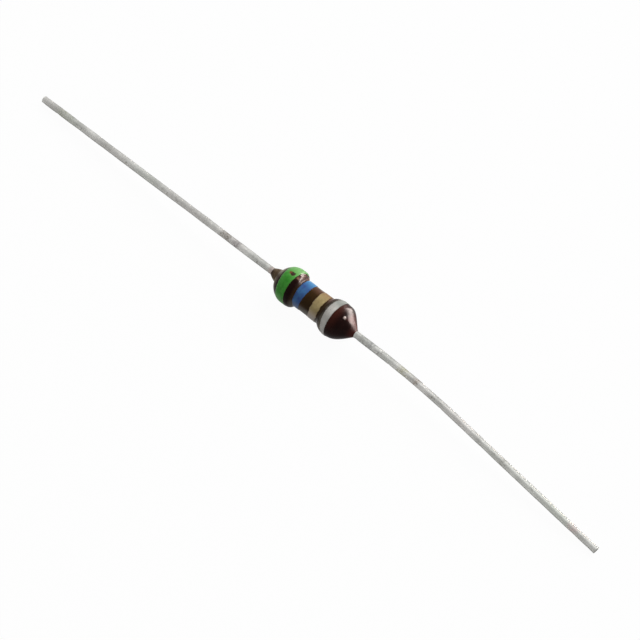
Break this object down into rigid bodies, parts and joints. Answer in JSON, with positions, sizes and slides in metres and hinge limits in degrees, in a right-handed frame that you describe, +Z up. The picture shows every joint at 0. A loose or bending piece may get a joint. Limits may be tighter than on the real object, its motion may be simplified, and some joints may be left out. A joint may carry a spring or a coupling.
{
  "type": "fixed inductor",
  "caption": "Small axial-lead fixed inductor with a dog-bone epoxy body, colour bands in green, blue, gold and silver, and long thin tinned leads.",
  "frame": {"origin": "middle of the body, on the surface that the body and the tips of its leads lie on", "axes": "+X along the body from the first colour band to the last, +Z up from the surface, +Y across the body"},
  "size_m": [0.049, 0.0029, 0.0026],
  "materials": {
    "ferrite": "matte",
    "enamelled_copper": "gloss",
    "tinned_copper": "satin",
    "cement": "matte",
    "solder": "satin",
    "dark_epoxy": "gloss",
    "green_paint": "gloss",
    "blue_paint": "gloss",
    "gold_paint": "satin",
    "silver_paint": "satin"
  },
  "bodies": {
    "root": {"ferrite_core": "ferrite", "coil_winding": "enamelled_copper", "lead_first": "tinned_copper", "lead_last": "tinned_copper", "socket_cement_first": "cement", "socket_cement_last": "cement", "solder_joint_first": "solder", "solder_joint_last": "solder", "epoxy_coating": "dark_epoxy", "band_1_green": "green_paint", "band_2_blue": "blue_paint", "band_3_gold": "gold_paint", "band_4_silver": "silver_paint"}
  },
  "joints": []
}
